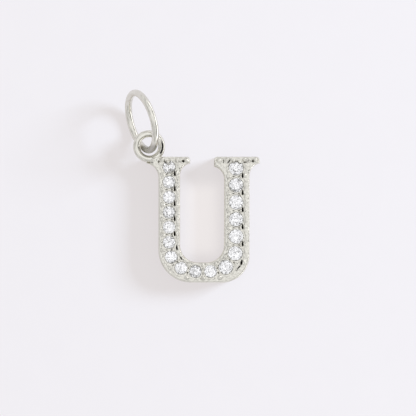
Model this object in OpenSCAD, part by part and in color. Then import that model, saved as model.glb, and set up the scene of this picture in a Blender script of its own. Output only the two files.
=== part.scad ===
// Initial pendant: a cast letter U set with one row of round stones, a loop cast onto
// the corner of its left serif, and a jump ring that hangs in that loop.
// The letter lies on its flat back. X runs across it, Y up it, Z out of its face.
// The origin is on the back, in the middle of the bow. Lengths are in millimetres.

/* [Letter] */
// Height of the letter, without the loop
letter_h = 10; // [9:0.1:13]
// Width over both legs
letter_w = 7.25; // [6.8:0.05:9]
// Thickness from the flat back to the top of the rims
letter_t = 1.9; // [1.75:0.05:2.3]
// Width of the bow that joins the legs
bow_w = 1.6; // [1.4:0.05:2]
// Metal on each side of the small stones
rim_left = 0.36; // [0.28:0.01:0.5]
// Metal on each side of the large stones
rim_right = 0.44; // [0.3:0.01:0.6]
// Radius of the outer corner under the left leg
corner_left_r = 2.6; // [2:0.1:3]
// Radius of the outer corner under the right leg
corner_right_r = 2.2; // [1.8:0.1:2.8]
// Radius of the two inner corners
corner_inner_r = 1.4; // [0.8:0.05:1.5]
// Rounding of the edge between the face and the side walls
edge_r = 0.18; // [0.08:0.01:0.24]
// Small chamfer round the back
back_chamfer = 0.06; // [0.02:0.01:0.15]

/* [Serifs] */
// How far three of the serif arms stand out from the legs
arm_out = 0.8; // [0.6:0.05:1]
// How far the arm that carries the loop stands out
arm_loop_out = 0.95; // [0.8:0.05:1.2]
// Height of a slim arm at its tip
arm_tip = 0.52; // [0.45:0.01:0.7]
// Height of the stout arm's tip, inside the right leg
arm_tip_stout = 0.8; // [0.5:0.01:1]
// Rounding of the arms' upper corners, seen from the front
arm_corner_r = 0.26; // [0.25:0.01:0.4]
// Diameter of the cast beads on the arms
arm_bead_d = 0.44; // [0.3:0.01:0.5]
// Distance from an arm's tip to the middle of its outermost bead
arm_bead_in = 0.36; // [0.3:0.01:0.45]
// Distance between two beads on one arm
arm_bead_pitch = 0.5; // [0.45:0.01:0.7]

/* [Stones] */
// Diameter of the small stones, down the left leg and along the bow
small_d = 1; // [0.9:0.01:1.15]
// Diameter of the large stones, up the right leg
large_d = 1.15; // [1:0.01:1.3]
// Number of small stones
small_count = 10; // [8:1:13]
// Number of large stones
large_count = 7; // [5:1:10]
// Gap beside a large stone, as a multiple of the gap between two small ones
gap_ratio = 1.07; // [1:0.01:1.3]
// How far the large stones lie to the left of the middle of their leg
row_shift = 0.06; // [0:0.01:0.1]
// Metal above the first stone of each leg
row_top = 0.33; // [0.25:0.01:0.6]
// How far the row lies above the middle of the bow
row_lift = 0.1; // [0:0.01:0.15]
// Radius at which the row turns the corners
row_turn_r = 1.9; // [1.6:0.05:2.2]
// Depth of a stone's girdle below the top of the rims
girdle_depth = 0.14; // [0.1:0.01:0.2]
// Clearance all round a stone in its seat
seat_gap = 0.02; // [0.01:0.01:0.05]
// Depth of the channel between the rims
channel_depth = 0.24; // [0.1:0.01:0.4]
// Diameter of the bead prongs beside the small stones
small_bead_d = 0.38; // [0.3:0.01:0.42]
// Diameter of the bead prongs beside the large stones
large_bead_d = 0.44; // [0.3:0.01:0.48]
// How far the middles of the beads lie inside the edges of the channel
bead_in = 0.08; // [0.04:0.01:0.15]
// How far the beads at the ends of the row lie outside those edges
end_bead_out = 0.1; // [0:0.01:0.15]
// How far the beads stand above the rims
bead_proud = 0.05; // [0.02:0.01:0.1]

/* [Loop] */
// Outer diameter of the loop on the letter
loop_d = 2.56; // [2.4:0.02:3]
// Wire diameter of the loop
loop_wire = 0.5; // [0.4:0.01:0.55]
// Height of the loop's wire above the back of the letter
loop_z = 1.58; // [1.45:0.01:1.9]
// How far the loop's hole clears the top of the arm
loop_lift = 0.05; // [0.03:0.01:0.12]
// How far the loop's middle lies inside the tip of its arm
loop_in = 0.21; // [0.1:0.01:0.4]

/* [Jump ring] */
// Outer diameter of the jump ring
ring_d = 5.22; // [4.6:0.02:6]
// Wire diameter of the jump ring
ring_wire = 0.56; // [0.4:0.01:0.6]
// Tilt of the jump ring out of the plane of the letter, in degrees
ring_tilt = 66.5; // [62:0.5:75]
// Direction from the ring's middle to the loop, in degrees from +X
ring_heading = -73.5; // [-85:0.5:-65]
// Play in the loop that the ring takes up, as a share of the free way
ring_seat = 0.72; // [0:0.02:0.8]
// Direction in which it takes it up, in degrees from +X
ring_seat_dir = 216; // [190:1:240]
// Place of the ring's butted cut, in degrees from the end in the loop
cut_at = 205; // [120:1:240]
// Width of the cut
cut_w = 0.04; // [0.02:0.01:0.1]

/* [Hidden] */
curve_steps = 14;
bracket_steps = 8;
tip_steps = 3;
edge_steps = 4;
round_fn = 48;

// Outline of the letter
left_x = -letter_w / 2;
right_x = letter_w / 2;
left_leg_w = small_d + 2 * rim_left;
right_leg_w = large_d + 2 * rim_right;
top_y = letter_h - bow_w / 2;
bottom_y = -bow_w / 2;
inner_y = bow_w / 2;
left_tip_x = left_x - arm_loop_out;
left_inner_tip_x = left_x + left_leg_w + arm_out;
right_inner_tip_x = right_x - right_leg_w - arm_out;
right_tip_x = right_x + arm_out;

// The row of stones: down the left leg, round the bow and up the right leg
row_left_x = left_x + rim_left + small_d / 2;
row_right_x = right_x - rim_right - large_d / 2 - row_shift;
row_turn_y = row_lift + row_turn_r;
row_left_top = top_y - row_top - small_d / 2;
row_right_top = top_y - row_top - large_d / 2;
row_down = row_left_top - row_turn_y;
row_bend = row_turn_r * PI / 2;
row_across = row_right_x - row_left_x - 2 * row_turn_r;
row_up = row_right_top - row_turn_y;
row_len = row_down + row_across + row_up + 2 * row_bend;

// The gaps between the stones fill the row from its first stone to its last
stone_count = small_count + large_count;
stones_len = (small_count - 0.5) * small_d + (large_count - 0.5) * large_d;
small_gap = (row_len - stones_len) / (small_count - 1 + large_count * gap_ratio);
small_pitch = small_d + small_gap;
large_pitch = large_d + small_gap * gap_ratio;
// Each stone as its distance along the row and its diameter
STONES = concat(
    [for (i = [0:small_count - 1]) [i * small_pitch, small_d]],
    [for (i = [large_count - 1:-1:0]) [row_len - i * large_pitch, large_d]]);

// Proportions of the round brilliant cut, as shares of its diameter or angles
table_share = 0.56;
crown_angle = 34.5;
pavilion_angle = 41;
girdle_share = 0.03;
star_share = 0.5;
lower_half_share = 0.25;

// The loop and the jump ring, which touches the surface with its lowest point
loop_r = (loop_d - loop_wire) / 2;
loop_hole_r = loop_r - loop_wire / 2;
loop_x = left_tip_x + loop_in;
loop_y = top_y + loop_lift + loop_hole_r;
ring_r = (ring_d - ring_wire) / 2;
ring_z = ring_r * sin(ring_tilt) + ring_wire / 2;
// The ring passes the plane of the loop at cross_at, this far round from its lower end
cross_turn = asin((loop_z - ring_z) / (ring_r * sin(ring_tilt)));
cross_play = ring_seat * (loop_hole_r - ring_wire / 2);
cross_at = [loop_x, loop_y] + cross_play * [cos(ring_seat_dir), sin(ring_seat_dir)];
ring_xy = cross_at - ring_r * cos(cross_turn) * [cos(ring_heading), sin(ring_heading)]
    + ring_r * sin(cross_turn) * cos(ring_tilt) * [sin(ring_heading), -cos(ring_heading)];

function two_digits(n) = n < 10 ? str("0", n) : str(n);
function stone_name(i) = str("stone_", two_digits(i + 1));

// Points of an arc, from one angle to another
function arc(middle, r, from, to, steps) =
    [for (i = [0:steps]) middle + r * [cos(from + (to - from) * i / steps),
                                       sin(from + (to - from) * i / steps)]];

// One side of a serif arm from the top edge down to the leg, drawn in by e: side is -1
// for an arm to the left and 1 for one to the right
function arm_side(tip_x, leg_x, tip_h, side, e) =
    let (reach = abs(tip_x - leg_x),
         r = arm_bracket_r(reach),
         mid = [leg_x + side * r, top_y - tip_h - arm_drop(reach, r)],
         rise = acos((r - reach + e) / (r + e)),
         edge = arc([tip_x - side * arm_corner_r, top_y - arm_corner_r],
                    arm_corner_r - e, 90, side > 0 ? 0 : 180, tip_steps),
         foot = [for (i = [0:bracket_steps])
                    let (a = rise * (1 - i / bracket_steps))
                    mid + (r + e) * [-side * cos(a), sin(a)]])
    concat(edge, foot);
// The bracket under an arm is a quarter round, a little wider than the arm
function arm_bracket_r(reach) = reach * 1.25;
function arm_drop(reach, r) = sqrt(pow(r, 2) - pow(r - reach, 2));

// The outer and the inner side of the letter, drawn in by e, from the top of the left
// leg to the top of the right leg. Both have the same number of points.
function outer_side(e) = concat(
    arm_side(left_tip_x, left_x, arm_tip, -1, e),
    arc([left_x + corner_left_r, bottom_y + corner_left_r], corner_left_r - e,
        180, 270, curve_steps),
    arc([right_x - corner_right_r, bottom_y + corner_right_r], corner_right_r - e,
        270, 360, curve_steps),
    reverse(arm_side(right_tip_x, right_x, arm_tip, 1, e)));
function inner_side(e) =
    let (left = left_x + left_leg_w, right = right_x - right_leg_w)
    concat(
        arm_side(left_inner_tip_x, left, arm_tip, 1, e),
        arc([left + corner_inner_r, inner_y + corner_inner_r], corner_inner_r + e,
            180, 270, curve_steps),
        arc([right - corner_inner_r, inner_y + corner_inner_r], corner_inner_r + e,
            270, 360, curve_steps),
        reverse(arm_side(right_inner_tip_x, right, arm_tip_stout, -1, e)));
function reverse(list) = [for (i = [len(list) - 1:-1:0]) list[i]];

// Levels of the letter as pairs of height and how far the outline is drawn in there
LEVELS = concat(
    [[0, back_chamfer], [back_chamfer, 0]],
    [for (i = [0:edge_steps]) let (a = 90 * i / edge_steps)
        [letter_t - edge_r + edge_r * sin(a), edge_r * (1 - cos(a))]]);

// A solid lofted through the levels: each ring runs down the outer side and back along
// the inner one, and the back and the face are strips between the two sides
module letter_blank() {
    rings = [for (l = LEVELS) concat(outer_side(l[1]), reverse(inner_side(l[1])))];
    n = len(rings[0]);
    half = n / 2;
    last = (len(LEVELS) - 1) * n;
    points = [for (k = [0:len(LEVELS) - 1]) for (p = rings[k]) [p[0], p[1], LEVELS[k][0]]];
    walls = [for (k = [0:len(LEVELS) - 2]) for (i = [0:n - 1])
        let (a = k * n + i, b = k * n + (i + 1) % n) [a, a + n, b + n, b]];
    back = [for (i = [0:half - 2]) [i, i + 1, n - 2 - i, n - 1 - i]];
    face = [for (i = [0:half - 2])
        [last + n - 1 - i, last + n - 2 - i, last + i + 1, last + i]];
    polyhedron(points, concat(walls, back, face));
}

// Place on the row at the distance s: x, y and the direction of the outer side
function row_at(s) =
    s < row_down ? [row_left_x, row_left_top - s, 180]
    : s < row_down + row_bend ? turn_at(row_left_x + row_turn_r, 180, s - row_down)
    : s < row_down + row_bend + row_across
        ? [row_left_x + row_turn_r + s - row_down - row_bend, row_lift, 270]
    : s < row_len - row_up
        ? turn_at(row_right_x - row_turn_r, 270, s - row_down - row_bend - row_across)
    : [row_right_x, row_turn_y + s - row_len + row_up, 360];
function turn_at(x, from, s) =
    let (a = from + s / row_turn_r * 180 / PI)
    [x + row_turn_r * cos(a), row_turn_y + row_turn_r * sin(a), a];
function beside_row(s, side) =
    let (p = row_at(s)) [p[0] + side * cos(p[2]), p[1] + side * sin(p[2])];

// Between two stones i - 1 and i: the middle of the gap, the half width of the row
// and the size of the beads
function gap_s(i) =
    (STONES[i - 1][0] + STONES[i - 1][1] / 2 + STONES[i][0] - STONES[i][1] / 2) / 2;
function gap_half(i) = (STONES[i - 1][1] + STONES[i][1]) / 4;
function gap_bead(i) =
    i < small_count ? small_bead_d
    : i > small_count ? large_bead_d
    : (small_bead_d + large_bead_d) / 2;

// The channel runs from the first stone to the last, as wide as the stones beside it
module channel() {
    half_w = [for (s = row_stops()) [s, s < gap_s(small_count) ? small_d / 2 : large_d / 2]];
    translate([0, 0, letter_t - channel_depth])
        linear_extrude(channel_depth + bead_proud)
            polygon(concat([for (p = half_w) beside_row(p[0], p[1] - seat_gap)],
                           [for (p = reverse(half_w)) beside_row(p[0], seat_gap - p[1])]));
}
// Distances at which the channel's outline has a point: close together in the corners
function row_stops() = concat(
    [0, row_down],
    [for (i = [1:curve_steps]) row_down + row_bend * i / curve_steps],
    [row_len - row_up - row_bend],
    [for (i = [1:curve_steps]) row_len - row_up - row_bend + row_bend * i / curve_steps],
    [row_len]);

// A cast bead whose top stands a little above the rims
module bead(at, d) {
    translate([at[0], at[1], letter_t + bead_proud - d / 2]) sphere(d = d, $fn = round_fn);
}

// The bead prongs: a pair in each gap of the row
module bead_prongs() {
    for (i = [1:stone_count - 1]) for (side = [-1, 1])
        bead(beside_row(gap_s(i), side * (gap_half(i) - bead_in)), gap_bead(i));
}

// The beads along the serifs: one near each tip, one more on the arms to the right, and
// a pair above each end of the row
module arm_beads() {
    y = top_y - arm_tip / 2;
    for (x = [left_tip_x + arm_bead_in, right_inner_tip_x + arm_bead_in])
        bead([x, y], arm_bead_d);
    for (tip_x = [left_inner_tip_x, right_tip_x]) for (step = [0, arm_bead_pitch])
        bead([tip_x - arm_bead_in - step, y], arm_bead_d);
    for (side = [-1, 1]) {
        bead([row_left_x + side * (small_d / 2 + end_bead_out), y], arm_bead_d);
        bead([row_right_x + side * (large_d / 2 + end_bead_out), y], arm_bead_d);
    }
}

// Space that a stone takes with its clearance, open upwards above its table
module seat(d) {
    r = d / 2 + seat_gap;
    rise = tan(crown_angle) * d * (1 - table_share) / 2;
    girdle = girdle_share * d / 2 + seat_gap;
    translate([0, 0, letter_t - girdle_depth])
        rotate_extrude($fn = round_fn)
            polygon([[0, -girdle - tan(pavilion_angle) * r], [r, -girdle], [r, girdle],
                     [r - rise / tan(crown_angle), girdle + rise],
                     [r - rise / tan(crown_angle), rise + letter_t / 4],
                     [0, rise + letter_t / 4]]);
}

// The loop on the left arm, a plain wire ring that is one piece with the letter
module fixed_loop() {
    translate([loop_x, loop_y, loop_z])
        rotate_extrude($fn = 2 * round_fn)
            translate([loop_r, 0]) circle(d = loop_wire, $fn = round_fn);
}

// The whole casting
module letter_body() {
    color("lightgray")
        difference() {
            union() {
                difference() {
                    letter_blank();
                    channel();
                }
                bead_prongs();
                arm_beads();
                fixed_loop();
            }
            for (stone = STONES)
                translate([row_at(stone[0])[0], row_at(stone[0])[1], 0]) seat(stone[1]);
        }
}

// The jump ring: round wire with a butted cut, leaning through the loop
module jump_ring() {
    cut_angle = cut_w / ring_r * 180 / PI;
    color("silver")
        translate([ring_xy[0], ring_xy[1], ring_z])
            rotate([0, 0, ring_heading]) rotate([ring_tilt, 0, 0])
                rotate([0, 0, cut_at + cut_angle / 2])
                    rotate_extrude(angle = 360 - cut_angle, $fn = 2 * round_fn)
                        translate([ring_r, 0]) circle(d = ring_wire, $fn = round_fn);
}

// One round brilliant: a table with eight sides, 8 star, 8 kite and 16 half facets above
// the girdle, and 16 half and 8 main facets below it
module brilliant(d) {
    r = d / 2;
    table_r = r * table_share;
    rise = tan(crown_angle) * (r - table_r);
    band = girdle_share * d / 2;
    flat = cos(22.5);
    star_r = table_r * flat + star_share * (r - table_r * flat);
    star_z = tan(crown_angle) * (r - star_r * flat);
    low_r = lower_half_share * r;
    low_z = tan(pavilion_angle) * (r - low_r * flat);
    function ring8(rad, z, turn) =
        [for (i = [0:7]) [rad * cos(45 * i + turn), rad * sin(45 * i + turn), z]];
    function ring16(z) = [for (i = [0:15]) [r * cos(22.5 * i), r * sin(22.5 * i), z]];
    // Rings of points: 0 table, 8 stars, 16 upper girdle, 32 lower girdle, 48 lower halves
    points = concat(ring8(table_r, band + rise, 0), ring8(star_r, band + star_z, 22.5),
                    ring16(band), ring16(-band), ring8(low_r, -band - low_z, 22.5),
                    [[0, 0, -band - tan(pavilion_angle) * r]]);
    culet = 56;
    faces = concat(
        [[7, 6, 5, 4, 3, 2, 1, 0]],
        [for (i = [0:7]) [i, (i + 1) % 8, 8 + i]],
        [for (i = [0:7]) [i, 8 + i, 16 + 2 * i, 8 + (i + 7) % 8]],
        [for (i = [0:7]) [8 + i, 17 + 2 * i, 16 + 2 * i]],
        [for (i = [0:7]) [8 + i, 16 + (2 * i + 2) % 16, 17 + 2 * i]],
        [for (i = [0:15]) [16 + i, 16 + (i + 1) % 16, 32 + (i + 1) % 16, 32 + i]],
        [for (i = [0:7]) [32 + 2 * i, 33 + 2 * i, 48 + i]],
        [for (i = [0:7]) [33 + 2 * i, 32 + (2 * i + 2) % 16, 48 + i]],
        [for (i = [0:7]) [32 + 2 * i, 48 + i, culet, 48 + (i + 7) % 8]]);
    polyhedron(points, faces);
}

// Stone number i of the row, in its seat
module stone(i) {
    at = row_at(STONES[i][0]);
    color("white")
        translate([at[0], at[1], letter_t - girdle_depth])
            rotate([0, 0, at[2]]) brilliant(STONES[i][1]);
}

letter_body();
jump_ring();
for (i = [0:stone_count - 1]) stone(i);
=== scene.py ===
# %% [markdown]
# # Initial pendant
# A cast letter U with one row of small round stones, a loop cast onto the corner of its
# left serif and a jump ring in that loop. It lies on its flat back and is seen from
# straight above. First the imported CAD model is loaded: it is the fixed frame for all
# that follows.

import math

import bmesh
import bpy
import numpy as np
from mathutils import Matrix, Vector, noise as soft_noise


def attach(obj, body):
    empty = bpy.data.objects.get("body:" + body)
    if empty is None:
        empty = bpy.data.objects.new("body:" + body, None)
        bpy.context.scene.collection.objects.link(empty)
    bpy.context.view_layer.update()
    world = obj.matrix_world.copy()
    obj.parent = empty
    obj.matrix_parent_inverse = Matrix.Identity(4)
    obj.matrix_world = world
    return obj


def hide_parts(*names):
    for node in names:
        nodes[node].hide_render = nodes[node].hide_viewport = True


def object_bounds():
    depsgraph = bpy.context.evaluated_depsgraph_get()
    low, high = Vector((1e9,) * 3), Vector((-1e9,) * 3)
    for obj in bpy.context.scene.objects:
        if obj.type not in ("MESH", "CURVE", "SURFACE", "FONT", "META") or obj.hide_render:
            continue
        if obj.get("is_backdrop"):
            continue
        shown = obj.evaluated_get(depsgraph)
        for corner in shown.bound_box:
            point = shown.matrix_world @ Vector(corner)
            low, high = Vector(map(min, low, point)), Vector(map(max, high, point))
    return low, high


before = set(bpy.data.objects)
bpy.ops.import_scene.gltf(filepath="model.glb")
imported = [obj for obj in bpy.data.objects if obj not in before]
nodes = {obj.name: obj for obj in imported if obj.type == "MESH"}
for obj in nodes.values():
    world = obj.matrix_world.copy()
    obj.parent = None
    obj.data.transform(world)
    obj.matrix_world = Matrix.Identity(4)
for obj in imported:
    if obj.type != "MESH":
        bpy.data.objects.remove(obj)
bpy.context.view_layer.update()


def in_mm(low, high):
    """The sides of a box in millimetres."""
    return [round((b - a) * 1000, 2) for a, b in zip(low, high)]


# %% [markdown]
# ## Sizes of the letter
# The sizes are those of the part's source. They are kept in millimetres, because a
# jeweller measures in them, and each mesh is scaled to metres when it is finished.

# %% Sizes
letter_t, letter_h, letter_w, bow_w = 1.9, 10.0, 7.25, 1.6
left_x, right_x = -letter_w / 2, letter_w / 2
left_leg_w, right_leg_w = 1.72, 2.03
top_y, bottom_y, bow_y = letter_h - bow_w / 2, -bow_w / 2, bow_w / 2
corner_left_r, corner_right_r, corner_inner_r = 2.6, 2.2, 1.4
edge_r, back_chamfer = 0.18, 0.06
arm_out, arm_loop_out, arm_tip, arm_tip_stout, arm_corner_r = 0.8, 0.95, 0.52, 0.8, 0.26
small_d, large_d, small_count, large_count = 1.0, 1.15, 10, 7
print("letter:", letter_w, "x", letter_h, "x", letter_t, "mm")

# %% [markdown]
# ## The camera
# The pendant was photographed from straight above. A long lens from a quarter of a
# metre away keeps the jump ring, which stands up higher than the letter, in proportion.
# The width of the view at the height of the letter's face is 33 mm.

# %% Camera
view_w, lens, sensor_w = 33.0, 250.0, 36.0
look_x, look_y = 0.317, 5.127
cam_data = bpy.data.cameras.new("camera")
cam_data.lens, cam_data.sensor_width = lens, sensor_w
cam_data.clip_start, cam_data.clip_end = 0.01, 5.0
camera = bpy.data.objects.new("camera", cam_data)
bpy.context.scene.collection.objects.link(camera)
camera.location = Vector((look_x, look_y, letter_t + view_w * lens / sensor_w)) / 1000
bpy.context.scene.camera = camera
print("camera height in mm:", round(camera.location.z * 1000, 1))

# %% [markdown]
# ## Shading tools
# Every surface here is built from the same few nodes: a soft noise, a change of range, a
# ramp of colours and a mix of two values. Each gets a small function, so that a material
# reads as one line for each thing that it does.

# %% Shading tools
def grain(t, coord, scale, detail=2.0):
    """Soft noise of one scale over a coordinate."""
    node = t.nodes.new("ShaderNodeTexNoise")
    node.inputs["Scale"].default_value, node.inputs["Detail"].default_value = scale, detail
    t.links.new(coord, node.inputs["Vector"])
    return node.outputs["Fac"]


def span(t, value, from_low, from_high, low=0.0, high=1.0):
    """Carries a value over from one range to another."""
    node = t.nodes.new("ShaderNodeMapRange")
    node.inputs["From Min"].default_value = from_low
    node.inputs["From Max"].default_value = from_high
    node.inputs["To Min"].default_value, node.inputs["To Max"].default_value = low, high
    t.links.new(value, node.inputs["Value"])
    return node.outputs["Result"]


def ramp(t, value, stops):
    """Colours along a value. Each stop is a position and its red, green and blue."""
    node = t.nodes.new("ShaderNodeValToRGB")
    marks = node.color_ramp.elements
    while len(marks) < len(stops):
        marks.new(0.5)
    for mark, (at, colour) in zip(marks, stops):
        mark.position, mark.color = at, (*colour, 1)
    t.links.new(value, node.inputs["Fac"])
    return node.outputs["Color"]


def blend(t, factor, a, b, kind="FLOAT"):
    """Mixes two sockets or values by a factor."""
    node = t.nodes.new("ShaderNodeMix")
    node.data_type = kind
    t.links.new(factor, node.inputs["Factor"])
    for socket, value in ((node.inputs["A"], a), (node.inputs["B"], b)):
        if isinstance(value, bpy.types.NodeSocket):
            t.links.new(value, socket)
        else:
            socket.default_value = value
    return node.outputs["Result"]


print("shading tools:", [tool.__name__ for tool in (grain, span, ramp, blend)])

# %% [markdown]
# ## Floor and light
# The pendant lies on a light table, a pale sheet that glows from below, because its
# shadows in the photo are so faint and a little warm. The sheet is a matt surface that
# sends out most of its brightness itself, and a faint noise keeps it from being one flat
# value.

# %% Floor
floor_half, paper_grain = 2.0, 400
floor_mesh = bpy.data.meshes.new("floor")
floor = bpy.data.objects.new("floor", floor_mesh)
bpy.context.scene.collection.objects.link(floor)
bm = bmesh.new()
bmesh.ops.create_grid(bm, x_segments=2, y_segments=2, size=floor_half)
bm.to_mesh(floor_mesh)
bm.free()
paper = bpy.data.materials.new("paper")
paper.use_nodes = True
pt = paper.node_tree
shader = pt.nodes["Principled BSDF"]
shader.inputs["Base Color"].default_value = (0.118, 0.118, 0.118, 1)
shader.inputs["Roughness"].default_value = 0.9
shader.inputs["Specular IOR Level"].default_value = 0.0
shader.inputs["Emission Color"].default_value = (0.652, 0.616, 0.620, 1)
spot = pt.nodes.new("ShaderNodeTexCoord").outputs["Object"]
faint = span(pt, grain(pt, spot, paper_grain), 0.0, 1.0, 0.99, 1.01)
pt.links.new(faint, shader.inputs["Emission Strength"])
floor_mesh.materials.append(paper)
floor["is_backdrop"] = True
print("floor faces:", len(floor_mesh.polygons))

# %% [markdown]
# The light is that of a small table studio: a white tent all round, brightest where its
# lamp stands behind the cloth, above and to the upper right. Polished metal shows little
# but what it reflects, so the tent's brightness follows the angle from that place: level
# metal is pale, flanks that face it are white, and those that face away are greyer. The
# cloth hangs in folds, which are a soft noise over its brightness. A cut stone mirrors
# the folds many times over, so light that has passed through one meets them stronger.

# %% The tent's cloth
scene = bpy.context.scene
scene.view_settings.view_transform = "Standard"
world = bpy.data.worlds.new("tent")
scene.world = world
world.use_nodes = True
wt = world.node_tree
wt.nodes.clear()
where = wt.nodes.new("ShaderNodeTexCoord").outputs["Generated"]
path = wt.nodes.new("ShaderNodeLightPath").outputs
toward = wt.nodes.new("ShaderNodeVectorMath")
toward.operation = "DOT_PRODUCT"
screen_side, screen_up = math.radians(35), math.radians(50)
toward.inputs[1].default_value = (math.cos(screen_up) * math.cos(screen_side),
                                  math.cos(screen_up) * math.sin(screen_side), math.sin(screen_up))
wt.links.new(where, toward.inputs[0])
# Position between the side away from the lamp and the lamp, and the brightness there
cloth_tones = ((0.0, 0.65), (0.3, 0.77), (0.5, 0.80), (0.65, 0.83),
               (0.8, 0.88), (0.9, 0.94), (0.95, 1.08), (1.0, 1.25))
cloth_blue = 1.01
cloth_tone = ramp(wt, span(wt, toward.outputs["Value"], -1.0, 1.0),
                  [(at, (value, value, value * cloth_blue)) for at, value in cloth_tones])
folds = grain(wt, where, 3.5, 1)
uneven = span(wt, folds, 0.38, 0.62, 0.74, 1.24)
sparkle = span(wt, folds, 0.45, 0.55, 0.22, 1.36)
cloth = blend(wt, path["Is Transmission Ray"], uneven, sparkle)
print("tones of the cloth:", len(cloth_tones))

# %% [markdown]
# On the right the tent stands open above the table. The room behind is dark, and the
# lit edge of the table below it is white. So whatever turns to the right carries a thin
# dark line with a white one beside it, as each wire and bead in the photo does. The
# camera doesn't see the tent but a plain pale background.

# %% The open side
parts = wt.nodes.new("ShaderNodeSeparateXYZ")
wt.links.new(where, parts.inputs[0])
# Height of the direction and the brightness there
open_tones = ((0.0, 3.2), (0.22, 3.2), (0.28, 0.1), (0.52, 0.1), (0.6, 1.0))
opening = ramp(wt, parts.outputs["Z"], [(at, (value, value, value)) for at, value in open_tones])
right_side = span(wt, parts.outputs["X"], 0.35, 0.65)
strength = wt.nodes.new("ShaderNodeMath")
strength.operation = "MULTIPLY"
wt.links.new(cloth, strength.inputs[0])
wt.links.new(blend(wt, right_side, 1.0, opening), strength.inputs[1])
tent, seen = (wt.nodes.new("ShaderNodeBackground") for _ in range(2))
wt.links.new(cloth_tone, tent.inputs["Color"])
wt.links.new(strength.outputs["Value"], tent.inputs["Strength"])
seen.inputs["Color"].default_value = (0.87, 0.865, 0.90, 1)
mix = wt.nodes.new("ShaderNodeMixShader")
wt.links.new(path["Is Camera Ray"], mix.inputs[0])
wt.links.new(tent.outputs[0], mix.inputs[1])
wt.links.new(seen.outputs[0], mix.inputs[2])
wt.links.new(mix.outputs[0], wt.nodes.new("ShaderNodeOutputWorld").inputs["Surface"])
print("sky nodes:", len(wt.nodes))

# %% [markdown]
# Part of the lamp's light comes straight, and its soft shadow falls to the lower left.
# The metal doesn't mirror that lamp, because the bright cloth already stands for it.

# %% Lamp
look_at_y = 5


def lamp(name, place, size, power, tint=(1, 1, 1)):
    """A square soft lamp that faces the pendant. Place and size are in millimetres."""
    data = bpy.data.lights.new(name, "AREA")
    data.energy, data.color = power, tint
    data.size = size / 1000
    lit = bpy.data.objects.new(name, data)
    scene.collection.objects.link(lit)
    lit.location = Vector(place) / 1000
    aim = Vector((0, look_at_y, 0)) / 1000 - lit.location
    lit.rotation_euler = aim.to_track_quat("-Z", "Y").to_euler()
    lit.visible_camera = lit.visible_glossy = lit.visible_transmission = False
    return lit


lamp("cloth", (408, 165, 242), 160, 8.6, (0.72, 0.82, 1.0))

# %% [markdown]
# The polished inner wall of the left leg throws the lamp's light back on the sheet, and
# warms it on the way. Few light paths of a render find that way, so a small lamp just
# over the sheet, between the legs and as narrow as they are, stands in for it.

# %% Light between the legs
glow = lamp("glow", (-0.2, 4.2, 2.2), 2.6, 0.000042, (1.0, 0.94, 0.86))
glow.data.shape, glow.data.size_y = "RECTANGLE", 0.0056
glow.data.spread = math.radians(50)
glow.rotation_euler = (0, 0, 0)

# %% [markdown]
# ## The metal
# The pendant is cast silver with a polished rhodium plate: a bright metal, a little
# warm. Drawn wire comes out smooth. A cast and tumbled surface isn't a perfect mirror:
# its gloss varies over a few tenths of a millimetre, and a low waviness breaks up the
# reflections. Noise on Object coordinates drives both, and a number stored on the mesh,
# "tumbled", says where the surface is cast. A second number is painted shade: where it
# is high the colour runs to near black and the gloss drops, for the shade and the dark
# reflections deep in the setting.

# %% Metal
def mesh_number(t, name):
    """Reads a number that is stored on the mesh. It is 0 where there is none."""
    node = t.nodes.new("ShaderNodeAttribute")
    node.attribute_name = name
    return node.outputs["Fac"]


def noise(t, coord, scale, detail, low, high):
    """Noise of one scale that runs between two values."""
    return span(t, grain(t, coord, scale, detail), 0.3, 0.7, low, high)


def polished_silver(name):
    """Bright plated metal, smooth on wire and a little uneven where it is cast."""
    mat = bpy.data.materials.new(name)
    mat.use_nodes = True
    t = mat.node_tree
    bsdf = t.nodes["Principled BSDF"]
    coord = t.nodes.new("ShaderNodeTexCoord").outputs["Object"]
    tumbled, painted_shade = mesh_number(t, "tumbled"), mesh_number(t, "painted_shade")
    skin = noise(t, coord, 5200, 3, 0.0, 1.0)
    tone = ramp(t, skin, ((0.0, (0.69, 0.672, 0.612)), (1.0, (0.77, 0.756, 0.694))))
    bump = t.nodes.new("ShaderNodeBump")
    bump.inputs["Distance"].default_value = 0.00003
    t.links.new(skin, bump.inputs["Height"])
    t.links.new(blend(t, tumbled, 0.02, 0.75), bump.inputs["Strength"])
    drawn, cast = (noise(t, coord, 900, 2, *ends) for ends in ((0.05, 0.11), (0.12, 0.24)))
    gloss = blend(t, tumbled, drawn, cast)
    # Painted shade: the colour runs to near black, and the gloss drops, where the mesh holds
    # shade.
    t.links.new(blend(t, painted_shade, tone, (0.02, 0.018, 0.016, 1), "RGBA"), bsdf.inputs["Base Color"])
    t.links.new(blend(t, painted_shade, gloss, 0.6), bsdf.inputs["Roughness"])
    t.links.new(bump.outputs["Normal"], bsdf.inputs["Normal"])
    bsdf.inputs["Metallic"].default_value = 1.0
    return mat


silver = polished_silver("polished_silver")
print("material:", silver.name)

# %% [markdown]
# ## The row of stones
# The stones follow one line: down the left leg, round the bow and up the right leg.
# Every dent and bead of the setting is placed by its distance along that line and its
# offset from it, so these two numbers are worked out once for any point.

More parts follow.
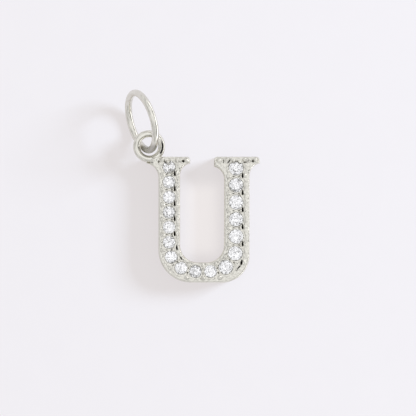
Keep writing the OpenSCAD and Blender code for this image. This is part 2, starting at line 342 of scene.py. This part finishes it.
# %% The row
row_turn_r, row_lift, row_top = 1.9, 0.1, 0.33
rim_left, rim_right, row_shift, large_gap_k = 0.36, 0.44, 0.06, 1.07
row_left_x = left_x + rim_left + small_d / 2
row_right_x = right_x - rim_right - large_d / 2 - row_shift
row_turn_y = row_lift + row_turn_r
row_down = top_y - row_top - small_d / 2 - row_turn_y
row_up = top_y - row_top - large_d / 2 - row_turn_y
row_bend = row_turn_r * math.pi / 2
row_across = row_right_x - row_left_x - 2 * row_turn_r
row_len = row_down + row_across + row_up + 2 * row_bend
stones_len = (small_count - 0.5) * small_d + (large_count - 0.5) * large_d
small_gap = (row_len - stones_len) / (small_count - 1 + large_count * large_gap_k)
small_pitch, large_pitch = small_d + small_gap, large_d + small_gap * large_gap_k
stones = [(i * small_pitch, small_d) for i in range(small_count)]
stones += [(row_len - i * large_pitch, large_d) for i in reversed(range(large_count))]


def row_at(s):
    """Place on the row at the distance s, and the direction of its outer side."""
    if s < row_down:
        return row_left_x, row_turn_y + row_down - s, math.pi
    if s < row_down + row_bend:
        a = math.pi + (s - row_down) / row_turn_r
        x = row_left_x + row_turn_r * (1 + math.cos(a))
        return x, row_turn_y + row_turn_r * math.sin(a), a
    if s < row_down + row_bend + row_across:
        return row_left_x + row_turn_r + s - row_down - row_bend, row_lift, 1.5 * math.pi
    if s < row_len - row_up:
        a = 1.5 * math.pi + (s - row_down - row_bend - row_across) / row_turn_r
        x = row_right_x - row_turn_r * (1 - math.cos(a))
        return x, row_turn_y + row_turn_r * math.sin(a), a
    return row_right_x, row_turn_y + s - row_len + row_up, 2 * math.pi


def row_of(x, y):
    """Distance along the row and offset to its outer side, for arrays of points."""
    s = np.where(x < 0, row_turn_y + row_down - y, row_len - row_up + y - row_turn_y)
    t = np.where(x < 0, row_left_x - x, x - row_right_x)
    for mid_x, from_a, from_s in (
        (row_left_x + row_turn_r, math.pi, row_down),
        (row_right_x - row_turn_r, 1.5 * math.pi, row_down + row_bend + row_across),
    ):
        a = np.arctan2(y - row_turn_y, x - mid_x) % (2 * math.pi)
        here = (y < row_turn_y) & ((x < mid_x) if mid_x < 0 else (x > mid_x))
        s = np.where(here, from_s + (a - from_a) * row_turn_r, s)
        t = np.where(here, np.hypot(x - mid_x, y - row_turn_y) - row_turn_r, t)
    flat = (y < row_turn_y) & (x >= row_left_x + row_turn_r) & (x <= row_right_x - row_turn_r)
    s = np.where(flat, row_down + row_bend + x - row_left_x - row_turn_r, s)
    return s, np.where(flat, row_lift - y, t)


places = [row_at(s) + (d,) for s, d in stones]
print("row length:", round(row_len, 3), "stones:", len(places))

# %% [markdown]
# ## The outline of the letter
# The outline is drawn like a pen line: a vertex is extruded for a straight stretch and
# spun about a centre for an arc. The outer side and the inner side are drawn separately
# with the same number of points, and a bridge between them makes a strip of faces whose
# cross edges run over the stroke of the letter, in the way a goldsmith files it.

# %% Pen
leg_steps, turn_steps, bow_steps, corner_steps, bracket_steps = 240, 104, 90, 8, 36
bracket_k = 1.25


def pen_to(bm, vert, x, y, steps):
    """Draws a straight stretch in even steps and gives its last vertex."""
    start = vert.co.copy()
    for i in range(steps):
        vert = bmesh.ops.extrude_vert_indiv(bm, verts=[vert])["verts"][0]
        vert.co = start.lerp(Vector((x, y, 0)), (i + 1) / steps)
    return vert


def pen_round(bm, vert, cx, cy, degrees, steps):
    """Draws an arc about a centre and gives its last vertex."""
    r = bmesh.ops.spin(bm, geom=[vert], cent=(cx, cy, 0), axis=(0, 0, 1), dvec=(0, 0, 0),
                       angle=math.radians(degrees), steps=steps, use_duplicate=False)
    return [v for v in r["geom_last"] if isinstance(v, bmesh.types.BMVert)][0]


def bracket(reach):
    """Radius of the bracket under an arm, the angle it turns, and how far it drops."""
    r = reach * bracket_k
    turn = math.degrees(math.acos((r - reach) / r))
    return r, turn, math.sqrt(r * r - (r - reach) ** 2)


def draw_arm(bm, vert, tip_x, leg_x, tip_h, side):
    """From the top edge over the tip of an arm and along its bracket to the leg."""
    r, turn, drop = bracket(abs(tip_x - leg_x))
    corner_x, corner_y = tip_x - side * arm_corner_r, top_y - arm_corner_r
    vert = pen_round(bm, vert, corner_x, corner_y, -90 * side, corner_steps)
    vert = pen_to(bm, vert, tip_x, top_y - tip_h, corner_steps)
    return pen_round(bm, vert, leg_x + side * r, top_y - tip_h - drop, turn * side, bracket_steps)


def draw_arm_up(bm, vert, tip_x, leg_x, tip_h, side):
    """The same line drawn the other way, from the leg up to the top edge."""
    r, turn, drop = bracket(abs(tip_x - leg_x))
    vert = pen_to(bm, vert, leg_x, top_y - tip_h - drop, leg_steps)
    vert = pen_round(bm, vert, leg_x + side * r, top_y - tip_h - drop, -turn * side, bracket_steps)
    corner_x, corner_y = tip_x - side * arm_corner_r, top_y - arm_corner_r
    vert = pen_to(bm, vert, tip_x, corner_y, corner_steps)
    return pen_round(bm, vert, corner_x, corner_y, 90 * side, corner_steps)


def draw_side(bm, tips, legs, tip_hs, sides, low_y, radii):
    """One whole side of the letter, from the top of the left leg to that of the right."""
    vert = bm.verts.new((tips[0] - sides[0] * arm_corner_r, top_y, 0))
    vert = draw_arm(bm, vert, tips[0], legs[0], tip_hs[0], sides[0])
    vert = pen_to(bm, vert, legs[0], low_y + radii[0], leg_steps)
    vert = pen_round(bm, vert, legs[0] + radii[0], low_y + radii[0], 90, turn_steps)
    vert = pen_to(bm, vert, legs[1] - radii[1], low_y, bow_steps)
    vert = pen_round(bm, vert, legs[1] - radii[1], low_y + radii[1], 90, turn_steps)
    draw_arm_up(bm, vert, tips[1], legs[1], tip_hs[1], sides[1])


inner_left, inner_right = left_x + left_leg_w, right_x - right_leg_w
letter = bmesh.new()
draw_side(letter, (left_x - arm_loop_out, right_x + arm_out), (left_x, right_x),
          (arm_tip, arm_tip), (-1, 1), bottom_y, (corner_left_r, corner_right_r))
draw_side(letter, (inner_left + arm_out, inner_right - arm_out), (inner_left, inner_right),
          (arm_tip, arm_tip_stout), (1, -1), bow_y, (corner_inner_r, corner_inner_r))
outline = np.array([v.co[:2] for v in letter.verts])
half = len(outline) // 2
print("points on the two sides:", len(outline), "edges:", len(letter.edges))

# %% [markdown]
# ## The blank
# The bridge makes the back, and extruding it makes the walls and the face. The small
# chamfer round the back keeps a real casting from scratching. The cross edges of the
# face are then cut into many short ones, because the relief of the setting is pressed
# into this grid.

# %% Blank
bmesh.ops.bridge_loops(letter, edges=letter.edges[:])
bmesh.ops.recalc_face_normals(letter, faces=letter.faces[:])
print("strip faces:", len(letter.faces))
back = letter.faces[:]
made = bmesh.ops.extrude_face_region(letter, geom=back)
face_verts = [g for g in made["geom"] if isinstance(g, bmesh.types.BMVert)]
bmesh.ops.translate(letter, verts=face_verts, vec=(0, 0, letter_t))
bmesh.ops.recalc_face_normals(letter, faces=letter.faces[:])
up = set(face_verts)
across, hair = 72, 1e-6
rungs = [e for e in letter.edges if all(v in up for v in e.verts) and len(e.link_faces) == 2
         and all(f.normal.z > 0.5 for f in e.link_faces)]
ends = [e for e in letter.edges if all(v in up for v in e.verts)
        and all(abs(v.co.y - top_y) < hair for v in e.verts)]
print("rungs:", len(rungs), "end edges:", len(ends))
bmesh.ops.subdivide_edges(letter, edges=rungs + ends, cuts=across - 1, use_grid_fill=True)
print("faces after cutting:", len(letter.faces))

# %% [markdown]
# ## The relief of the face
# The face is one continuous height above every point, as a wax model is. Heights add up
# best where each form is a small function of its own and two of them meet in a soft
# fillet, as molten metal does. No form has an upright side, because a grid would show it
# as steps: a bead stands on a short steep skirt, and a pit has sloping walls.

# %% Forms of the relief
def soft_max(a, b, k):
    """The higher of two heights, with a fillet of about k where they meet."""
    h = np.maximum(k - np.abs(a - b), 0) / k
    return np.maximum(a, b) + h * h * k / 4


def ease(v):
    """Runs smoothly from 0 to 1."""
    v = np.clip(v, 0, 1)
    return v * v * (3 - 2 * v)


def bead(x, y, cx, cy, r, proud):
    """A round bead on a steep skirt, whose top stands proud of the rims."""
    rho = np.hypot(x - cx, y - cy)
    ball = np.sqrt(np.maximum(r * r - rho * rho, 0.19 * r * r))
    return proud - r + ball - 2.5 * np.maximum(rho - 0.9 * r, 0)


def drop_pit(x, y, cx, cy, angle, long, wide, drop=0.5):
    """1 in the middle of a pit shaped like a drop and 0 outside it. Its lower end is wide."""
    u = (x - cx) * math.cos(angle) + (y - cy) * math.sin(angle)
    v = -(x - cx) * math.sin(angle) + (y - cy) * math.cos(angle)
    lean = 1 - drop * np.clip(u / long, -1, 1)
    return ease(1.5 * (1 - (u / long) ** 2 - (v / (wide * lean)) ** 2))


def edge_distance(x, y):
    """Distance of each point of the face from the outline."""
    starts = np.concatenate([outline, [outline[0]]])
    stops = np.concatenate([np.roll(outline, -1, axis=0), [outline[half]]])
    stops[half - 1], stops[-2] = outline[-1], outline[-1]
    best = np.full(len(x), 1e9)
    for (px, py), (dx, dy) in zip(starts, stops - starts):
        f = np.clip(((x - px) * dx + (y - py) * dy) / max(dx * dx + dy * dy, 1e-12), 0, 1)
        best = np.minimum(best, (x - px - f * dx) ** 2 + (y - py - f * dy) ** 2)
    return np.sqrt(best)


print("height in a bead's middle:", bead(0.0, 0.0, 0.0, 0.0, 0.2, 0.05))

# %% [markdown]
# ## The setting of the stones
# The stones stand in one channel. The setter has cut a bright scallop round each of them,
# and has raised a pair of beads where two scallops meet. The metal is pressed against the
# edge of each stone, so no gap shows there, and its seat below is a cone that follows the
# underside of the stone. The beads are laid on after the seats. A real one rests on top of
# the stone's edge, but the face is one height above every point, so where a bead reaches
# over a stone it goes down through the edge of it.
#
# On the side of the row that lies to the right, a pit is left behind each bead, painted
# black for the shade and dark reflection there, with a lip beyond it that catches the
# light. In the turns of the row the pits lie further out, at places read from the photo.
# Shade is painted into what is deep or undercut, so each form adds to a second number
# beside the height: how much painted shade lies there.

# %% Setting
gaps = []
for i in range(1, len(stones)):
    (s0, d0), (s1, d1) = stones[i - 1], stones[i]
    gaps.append(((s0 + d0 / 2 + s1 - d1 / 2) / 2, (d0 + d1) / 4))
channel_depth, channel_side = 0.05, 0.16
seat_depth, seat_slope, seat_play = 0.165, math.tan(math.radians(41)), 0.01
wall_slope, closing = 8, 0.006
scallop_out, scallop_half, scallop_depth = 0.1, 0.06, 0.02
line_out, line_half, line_depth, line_dark = 0.19, 0.035, 0.012, 0.4
fillet = 0.03


def channel(x, y):
    """Height in and beside the channel, and the half width of the row at each point."""
    s, t = row_of(x, y)
    turn = gaps[small_count - 1][0]
    width = small_d / 2 + (large_d - small_d) / 2 * ease((s - turn) / 0.2 + 0.5)
    off = np.hypot(t, np.maximum(np.maximum(-s, s - row_len), 0))
    return -channel_depth * ease((width + channel_side - off) / channel_side), width, off


def set_stones(x, y, z, dark, broken):
    """Cuts the scallop and the seat of each stone. Its outer edge is a broken thin line, painted
    with shade.
    """
    for px, py, _, d in places:
        rho = np.hypot(x - px, y - py)
        scallop = ease(1 - np.abs(rho - d / 2 - scallop_out) / scallop_half)
        scallop = scallop * ease((z + 0.06) / 0.05)
        line = ease(1 - np.abs(rho - d / 2 - line_out) / line_half) * ease((z + 0.05) / 0.04)
        line = line * ease(1.6 * broken)
        z = z - scallop_depth * scallop - line_depth * line
        # The thin line is painted with shade.
        dark = np.maximum(dark, line_dark * line)
        wall = wall_slope * (rho - d / 2 + closing) - seat_depth
        cone = seat_slope * (rho - d / 2 - seat_play) - seat_depth
        z = np.minimum(z, np.where(rho > d / 2 - closing, wall, cone))
    return z, dark


def raise_bead(x, y, z, dark, cx, cy, r, proud):
    """Lays a bead over what is there, and clears the painted shade where it stands out."""
    top = bead(x, y, cx, cy, r, proud)
    return soft_max(z, top, fillet), dark * ease((z - top) / fillet + 0.5)


gap_proud = 0.04
# How far in from the edge of the row a bead stands, and its radius
bead_right, bead_left = (0.2, 0.16), (0.02, 0.17)
nick_out, nick_long, nick_half, nick_depth = 0.21, 0.1, 0.035, 0.06
lip_out, lip_half, lip_height, black_depth = 0.17, 0.13, 0.05, 0.2
pit_in, pit_rise, pit_long, pit_half = 0.07, 0.1, 0.23, 0.065
# Middle, direction in degrees, half length and half width
turn_pits = [(-2.16, 1.99, 97, 0.22, 0.065), (-1.83, 1.16, 120, 0.16, 0.04),
             (2.98, 0.82, 80, 0.25, 0.075)]


def sink(z, dark, pit, depth, darkness):
    """Sinks a pit of some depth and paints shade of some darkness into it."""
    return z - depth * pit, np.maximum(dark, darkness * pit)


def black_pit(x, y, z, dark, cx, cy, turned, long, wide):
    """A deep pit shaped like a drop, painted black as shade, with a lip to its right that catches
    the light.
    """
    turned = math.radians(turned)
    z = z + lip_height * drop_pit(x, y, cx + lip_out, cy, turned, long, lip_half, 0)
    return sink(z, dark, drop_pit(x, y, cx, cy, turned, long, wide), black_depth, 1.0)


def set_beads(x, y, z, dark):
    """Raises the beads in each gap, and sinks a pit behind them and two nicks between, painted
    with shade.
    """
    for gs, gh in gaps:
        rx, ry, a = row_at(gs)
        along = a + math.pi / 2
        for side in (-1, 1):
            nx, ny = side * math.cos(a), side * math.sin(a)
            right = nx > 0.3
            inward, r = bead_right if right else bead_left
            out = gh - inward
            rho = np.hypot(x - rx - out * nx, y - ry - out * ny)
            outer = ((x - rx) * nx + (y - ry) * ny - out) / np.maximum(rho, 1e-6)
            if not right:
                # A moat round each left bead, painted with shade.
                moat = ease(1 - np.abs(rho - r - 0.04) / 0.06) * ease(outer * 1.5)
                z, dark = sink(z, dark, moat, 0.03, 0.4)
            z, dark = raise_bead(x, y, z, dark, rx + out * nx, ry + out * ny, r, gap_proud)
            # A nick beside each bead, painted with shade.
            nick = drop_pit(x, y, rx + nick_out * nx, ry + nick_out * ny, along + math.pi / 2,
                            nick_long, nick_half, 0)
            z, dark = sink(z, dark, nick, nick_depth, 0.7)
            # Behind each right bead on a straight stretch, a pit painted black as shade.
            if right and abs(ny) < 0.02:
                z, dark = black_pit(x, y, z, dark, rx + gh - pit_in, ry + pit_rise, 90,
                                    pit_long, pit_half)
    # Pits in the turns of the row, painted black as shade.
    for px, py, turned, long, wide in turn_pits:
        z, dark = black_pit(x, y, z, dark, px, py, turned, long, wide)
    return z, dark


print("gaps:", len(gaps), "places:", len(places))

# %% [markdown]
# ## The serifs
# A shallow trough runs along each serif with a line of bright beads in it, and the
# beads nearest the row reach over the edge of its first stone. Near the right end of
# each serif a small diamond, painted black as shade, stands between two beads, with a
# thin cut beside it. Thin slots part the beads, also a few along the bow, and some pin
# holes are left from the casting; shade is painted into slots, holes and cut. Their
# places are read from the photo.

# %% Serifs
bead_y = top_y - arm_tip / 2
serif_proud, trough_depth, slot_depth, diamond_depth, pin_depth = 0.07, 0.06, 0.06, 0.16, 0.05
serif_ends = ((left_x - arm_loop_out, inner_left + arm_out),
              (inner_right - arm_out, right_x + arm_out))
# Middle and radius
serif_beads = [(-3.31, 8.96, 0.2), (-2.12, 8.92, 0.2), (-1.86, 8.9, 0.16), (-1.38, 8.9, 0.19),
               (1.21, 8.87, 0.22), (1.84, 8.88, 0.21), (3.24, 8.94, 0.17), (3.55, 8.92, 0.18),
               (4.09, 8.92, 0.2)]
claws = [(-2.86, 8.8, 0.13), (2.36, 8.86, 0.14), (2.8, 8.8, 0.13)]
pin_holes = [(-1.95, 8.25, 0.045), (-2.11, 7.35, 0.05), (3.53, 8.10, 0.045), (3.55, 6.9, 0.035),
             (3.56, 5.1, 0.035)]
# Middle, direction in degrees, half length, half width and darkness
slots = [(-4.39, 8.79, -35, 0.15, 0.05, 0.7), (-4.12, 8.74, 0, 0.12, 0.045, 0.6),
         (-3.6, 8.8, 85, 0.16, 0.045, 0.7), (-3.13, 8.78, 95, 0.16, 0.045, 0.7),
         (1.55, 8.83, 90, 0.2, 0.045, 0.7), (1.98, 8.82, 53, 0.26, 0.07, 0.9),
         (2.83, 8.7, 60, 0.12, 0.05, 0.7), (3.25, 8.74, 0, 0.22, 0.045, 0.65),
         (3.5, 8.9, 80, 0.12, 0.04, 0.7), (2.76, 0.42, 48, 0.24, 0.06, 1.0),
         (2.6, 0.2, 30, 0.14, 0.04, 0.6), (1.12, 0.02, 20, 0.1, 0.04, 0.6),
         (-1.33, 0.02, -20, 0.1, 0.04, 0.6), (-1.1, 0.7, -40, 0.12, 0.04, 0.6),
         (0.08, 0.62, 60, 0.09, 0.035, 0.5)]
diamonds = [(tip - 0.54, 8.84) for _, tip in serif_ends]


def serifs(x, y, z, off, width, dark):
    """Trough, beads, diamonds and pin holes of the serifs, with shade painted into the hollows."""
    for tip_l, tip_r in serif_ends:
        inside = ease((x - max(tip_l, -3.9) - 0.08) / 0.12) * ease((tip_r - 0.08 - x) / 0.1)
        trough = ease((0.2 - np.abs(y - bead_y)) / 0.1) * ease((off - width) / 0.05) * inside
        z, dark = sink(z, dark, trough, trough_depth, 0.0)
    for bx, by, r in serif_beads:
        # A moat round each bead, painted with light shade.
        moat = ease(1 - np.abs(np.hypot(x - bx, y - by) - r - 0.01) / 0.05)
        z, dark = raise_bead(x, y, *sink(z, dark, moat, 0.02, 0.2), bx, by, r, serif_proud)
    # Slots painted with shade.
    for sx, sy, turned, long, wide, darkness in slots:
        slot = drop_pit(x, y, sx, sy, math.radians(turned), long, wide, 0)
        z, dark = sink(z, dark, slot, slot_depth, darkness)
    # Diamonds painted black as shade, and a cut beside each painted with shade.
    for bx, by in diamonds:
        pit = ease(1.4 * (1 - (np.abs(x - bx) / 0.12 + np.abs(y - by) / 0.17)))
        cut = ease(1 - np.abs(y - by) / 0.03) * ease((x - bx + 0.55) / 0.1) * ease((bx - x) / 0.05)
        z, dark = sink(*sink(z, dark, cut, 0.02, 0.6), pit, diamond_depth, 1.0)
    # Pin holes painted with shade.
    for px, py, r in pin_holes:
        hole = ease(1.5 * (1 - np.hypot(x - px, (y - py) * 0.7) / r))
        z, dark = sink(z, dark, hole, pin_depth, 0.75)
    return z, dark


def set_claws(x, y, z, dark):
    """The beads that reach over the edge of the first stone of each leg, and into it."""
    for cx, cy, r in claws:
        z, dark = raise_bead(x, y, z, dark, cx, cy, r, serif_proud)
    return z, dark


def neck(x, y, z):
    """Lets the left end of the arm sink into the wire of the loop, and where it is cast."""
    near = np.abs(np.hypot(x - loop_mid.x, y - loop_mid.y) - loop_r)
    wire = loop_mid.z - letter_t + np.sqrt(np.maximum((loop_wire / 2) ** 2 - near ** 2, 0))
    fade = ease((-3.95 - x) / 0.55)
    lower = soft_max(z - 0.3 * fade, wire - 0.03, 0.12)
    return np.where(fade > 0, z + (lower - z) * np.minimum(fade * 3, 1), z), 1 - fade


loop_mid, loop_r, loop_wire, loop_broad = Vector((-4.365, 10.03, 1.58)), 1.0, 0.5, 1.12
print("serif beads:", len(serif_beads), "slots:", len(slots), "diamonds:", len(diamonds))

# %% [markdown]
# Now the forms are laid over one another in the order in which the setter works, and the
# points of the face are moved to the height that comes out. A little soft noise is added,
# because no cast face is quite level, but none in the seats. The rounding of the outer
# edge is taken off last. The painted shade is stored on the mesh for the finish to use,
# and so is how rough the casting is: the edges and walls are polished smoother than the face.

# %% Press the relief
# One number on the mesh for painted shade, one for how rough the cast surface is.
painted_shade, tumbled = (letter.verts.layers.float.new(name) for name in ("painted_shade", "tumbled"))
face = [v for v in letter.verts if v.co.z > letter_t - 1e-4]
x = np.array([v.co.x for v in face])
y = np.array([v.co.y for v in face])
d = edge_distance(x, y)
lump_size, lump_height, polished = 0.16, 0.036, 0.1
lumps = np.array([soft_noise.noise(Vector((px, py, 0)) / lump_size) for px, py in zip(x, y)])
z, width, off = channel(x, y)
z, dark = serifs(x, y, z, off, width, np.zeros_like(x))
z, dark = set_stones(x, y, z, dark, 0.5 + lumps)
z, dark = set_claws(x, y, *set_beads(x, y, z, dark))
z, cast = neck(x, y, z)
z = z + lump_height * lumps * cast * ease((z + 0.12) / 0.05) * ease((d - 0.08) / 0.15)
cast = cast * (polished + (1 - polished) * ease(d / 0.25))
rounding = edge_r - np.sqrt(np.maximum(edge_r ** 2 - np.maximum(edge_r - d, 0) ** 2, 0))
z = letter_t + z * ease(d / 0.12) - rounding
for v in letter.verts:
    v[tumbled] = polished
# The painted shade goes onto the mesh, fading out towards the outer edge.
for v, h, depth, rough in zip(face, z, dark * ease(d / 0.1), cast):
    v.co.z, v[painted_shade], v[tumbled] = h, depth, rough
print("points:", len(face), "heights in mm:", round(float(z.min()), 3), round(float(z.max()), 3))

# %% [markdown]
# ## The back edge
# A real casting has a small chamfer where the walls meet the back, so the corner edges
# there are bevelled.

# %% Chamfer the back
low = [e for e in letter.edges if all(v.co.z < hair for v in e.verts)
       and any(abs(f.normal.z) < 0.5 for f in e.link_faces)]
bmesh.ops.bevel(letter, geom=low, offset=back_chamfer, offset_type="OFFSET", segments=2,
                profile=0.5, affect="EDGES", material=-1, clamp_overlap=True)
print("faces:", len(letter.faces), "open edges:", sum(not e.is_manifold for e in letter.edges))

# %% [markdown]
# ## The loop
# A plain ring, cast in one with the letter and a little broader than it is high. A circle
# is placed at the radius of the loop, widened and spun about its middle. It sinks a
# little into the arm, where the two are one piece of metal. A groove runs along the right
# side of the wire, painted dark for the shade and dark reflection in it, as in the photo.

# %% Loop
upright = Matrix.Rotation(math.pi / 2, 4, "X")
section = (Matrix.Translation(loop_mid + Vector((loop_r, 0, 0))) @ upright
           @ Matrix.Scale(loop_broad, 4, (1, 0, 0)))
circle = bmesh.ops.create_circle(letter, cap_ends=False, segments=56, radius=loop_wire / 2,
                                 matrix=section)["verts"]
circle_edges = list({e for v in circle for e in v.link_edges})
before = len(letter.faces)
bmesh.ops.spin(letter, geom=circle + circle_edges, cent=loop_mid, axis=(0, 0, 1),
               dvec=(0, 0, 0), angle=2 * math.pi, steps=200, use_merge=True, use_duplicate=False)
groove_r, groove_half, groove_depth, groove_from, groove_to = 1.075, 0.1, 0.06, -36, 34
for v in letter.verts:
    arm = v.co.xy - loop_mid.xy
    turned = math.degrees(math.atan2(arm.y, arm.x))
    if v[tumbled] == 0 and v.co.z > loop_mid.z and groove_from < turned < groove_to:
        taper = min((turned - groove_from) / 6, (groove_to - turned) / 30, 1)
        groove = float(ease(1.6 * (1 - abs(arm.length - groove_r) / groove_half))) * taper
        # The groove is painted dark as shade and dark reflection.
        v.co.z, v[painted_shade] = v.co.z - groove_depth * groove, min(1.3 * groove, 1)
print("loop faces:", len(letter.faces) - before)
print("open edges:", sum(not e.is_manifold for e in letter.edges))

# %% [markdown]
# ## From millimetres to the frame
# A finished piece is scaled to metres, shaded smooth but for its sharp edges, and takes the
# place of its CAD node. On the letter all edges below the chamfer stay sharp, so that the
# flat back stays flat in the light.

# %% Finish a piece
sharp_deg = 60


def finish_piece(bm, name, material, sharp, node, crisp=-1.0):
    """Hands a piece over for its CAD node. Edges lower than crisp stay sharp."""
    bmesh.ops.recalc_face_normals(bm, faces=bm.faces[:])
    bmesh.ops.scale(bm, vec=(0.001, 0.001, 0.001), verts=bm.verts[:])
    mesh = bpy.data.meshes.new(name)
    bm.to_mesh(mesh)
    bm.free()
    mesh.shade_smooth()
    mesh.set_sharp_from_angle(angle=math.radians(sharp))
    for edge in mesh.edges:
        if all(mesh.vertices[i].co.z < (crisp + 0.001) / 1000 for i in edge.vertices):
            edge.use_edge_sharp = True
    mesh.materials.append(material)
    piece = bpy.data.objects.new(name, mesh)
    bpy.context.scene.collection.objects.link(piece)
    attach(piece, "root")
    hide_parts(node)
    print(name, "triangles:", sum(len(p.vertices) - 2 for p in mesh.polygons))


finish_piece(letter, "cast_letter", silver, sharp_deg, "letter_body", back_chamfer)

# %% [markdown]
# ## The jump ring
# Round wire bent to a ring whose two ends butt together. A circle is spun by a little
# less than a full turn and both ends are closed with a face, so the cut is a real gap.
# Where it passes through the loop, shade is painted on it: its colour is darker and its gloss
# lower there.

# %% Jump ring
ring_mid, ring_r, ring_wire = Vector((-4.916, 11.977, 2.417)), 2.33, 0.56
ring_tilt, ring_heading, cut_at, cut_w = 66.5, -73.5, 205.0, 0.012
turned = (Matrix.Translation(ring_mid) @ Matrix.Rotation(math.radians(ring_heading), 4, "Z")
          @ Matrix.Rotation(math.radians(ring_tilt), 4, "X"))
gap_angle = cut_w / ring_r
bm = bmesh.new()
start = (Matrix.Rotation(math.radians(cut_at) + gap_angle / 2, 4, "Z")
         @ Matrix.Translation((ring_r, 0, 0)) @ upright)
bmesh.ops.create_circle(bm, cap_ends=True, segments=40, radius=ring_wire / 2, matrix=start)
spun = bmesh.ops.spin(bm, geom=bm.verts[:] + bm.edges[:], cent=(0, 0, 0), axis=(0, 0, 1),
                      dvec=(0, 0, 0), angle=2 * math.pi - gap_angle, steps=180,
                      use_duplicate=False)
last = [g for g in spun["geom_last"] if isinstance(g, bmesh.types.BMEdge)]
bmesh.ops.contextual_create(bm, geom=last)
bmesh.ops.transform(bm, matrix=turned, verts=bm.verts[:])
shade = bm.verts.layers.float.new("painted_shade")
# Painted shade where the ring passes through the loop.
loop_shade_dark, loop_shade_reach, loop_shade_top = 0.4, 0.8, 10.3
for v in bm.verts:
    reach = ease((loop_shade_reach - (v.co.xy - loop_mid.xy).length) / 0.3)
    v[shade] = loop_shade_dark * float(reach * ease((loop_shade_top - v.co.y) / 0.4))
print("ring faces:", len(bm.faces), "open edges:", sum(not e.is_manifold for e in bm.edges))
finish_piece(bm, "wire_ring", silver, sharp_deg, "jump_ring")

# %% [markdown]
# ## The stones
# The CAD stones already have every facet of the round brilliant cut, so they stay. They
# get a clear material with a high refractive index, like that of cubic zirconia. Small
# stones are cut by machine and none is quite like the next, so a slow noise leans their
# facets by a few degrees, each stone's in its own way.

# %% Stones
def clear_stone(name):
    """Colourless, high refraction, and hardly any roughness on the polished facets."""
    mat = bpy.data.materials.new(name)
    mat.use_nodes = True
    t = mat.node_tree
    bsdf = t.nodes["Principled BSDF"]
    coord = t.nodes.new("ShaderNodeTexCoord").outputs["Object"]
    lean = t.nodes.new("ShaderNodeBump")
    lean.inputs["Strength"].default_value, lean.inputs["Distance"].default_value = 1.0, 0.00006
    t.links.new(grain(t, coord, 1900, 0), lean.inputs["Height"])
    t.links.new(lean.outputs["Normal"], bsdf.inputs["Normal"])
    gloss = span(t, grain(t, coord, 3000), 0.0, 1.0, 0.0, 0.04)
    t.links.new(gloss, bsdf.inputs["Roughness"])
    bsdf.inputs["Base Color"].default_value = (0.95, 0.95, 0.955, 1)
    bsdf.inputs["IOR"].default_value = 2.15
    bsdf.inputs["Transmission Weight"].default_value = 1.0
    return mat


crystal = clear_stone("clear_stone")
for name, node in nodes.items():
    if name.startswith("stone"):
        node.data.materials[0] = crystal
    elif not node.data.materials:
        node.data.materials.append(silver)
    else:
        node.data.materials[0] = silver
print("stones dressed:", sum(n.startswith("stone") for n in nodes))

# %% [markdown]
# ## The box
# The box of the finished pendant is printed in millimetres.

# %% Finish
low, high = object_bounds()
print("visual box in mm:", in_mm(low, high))
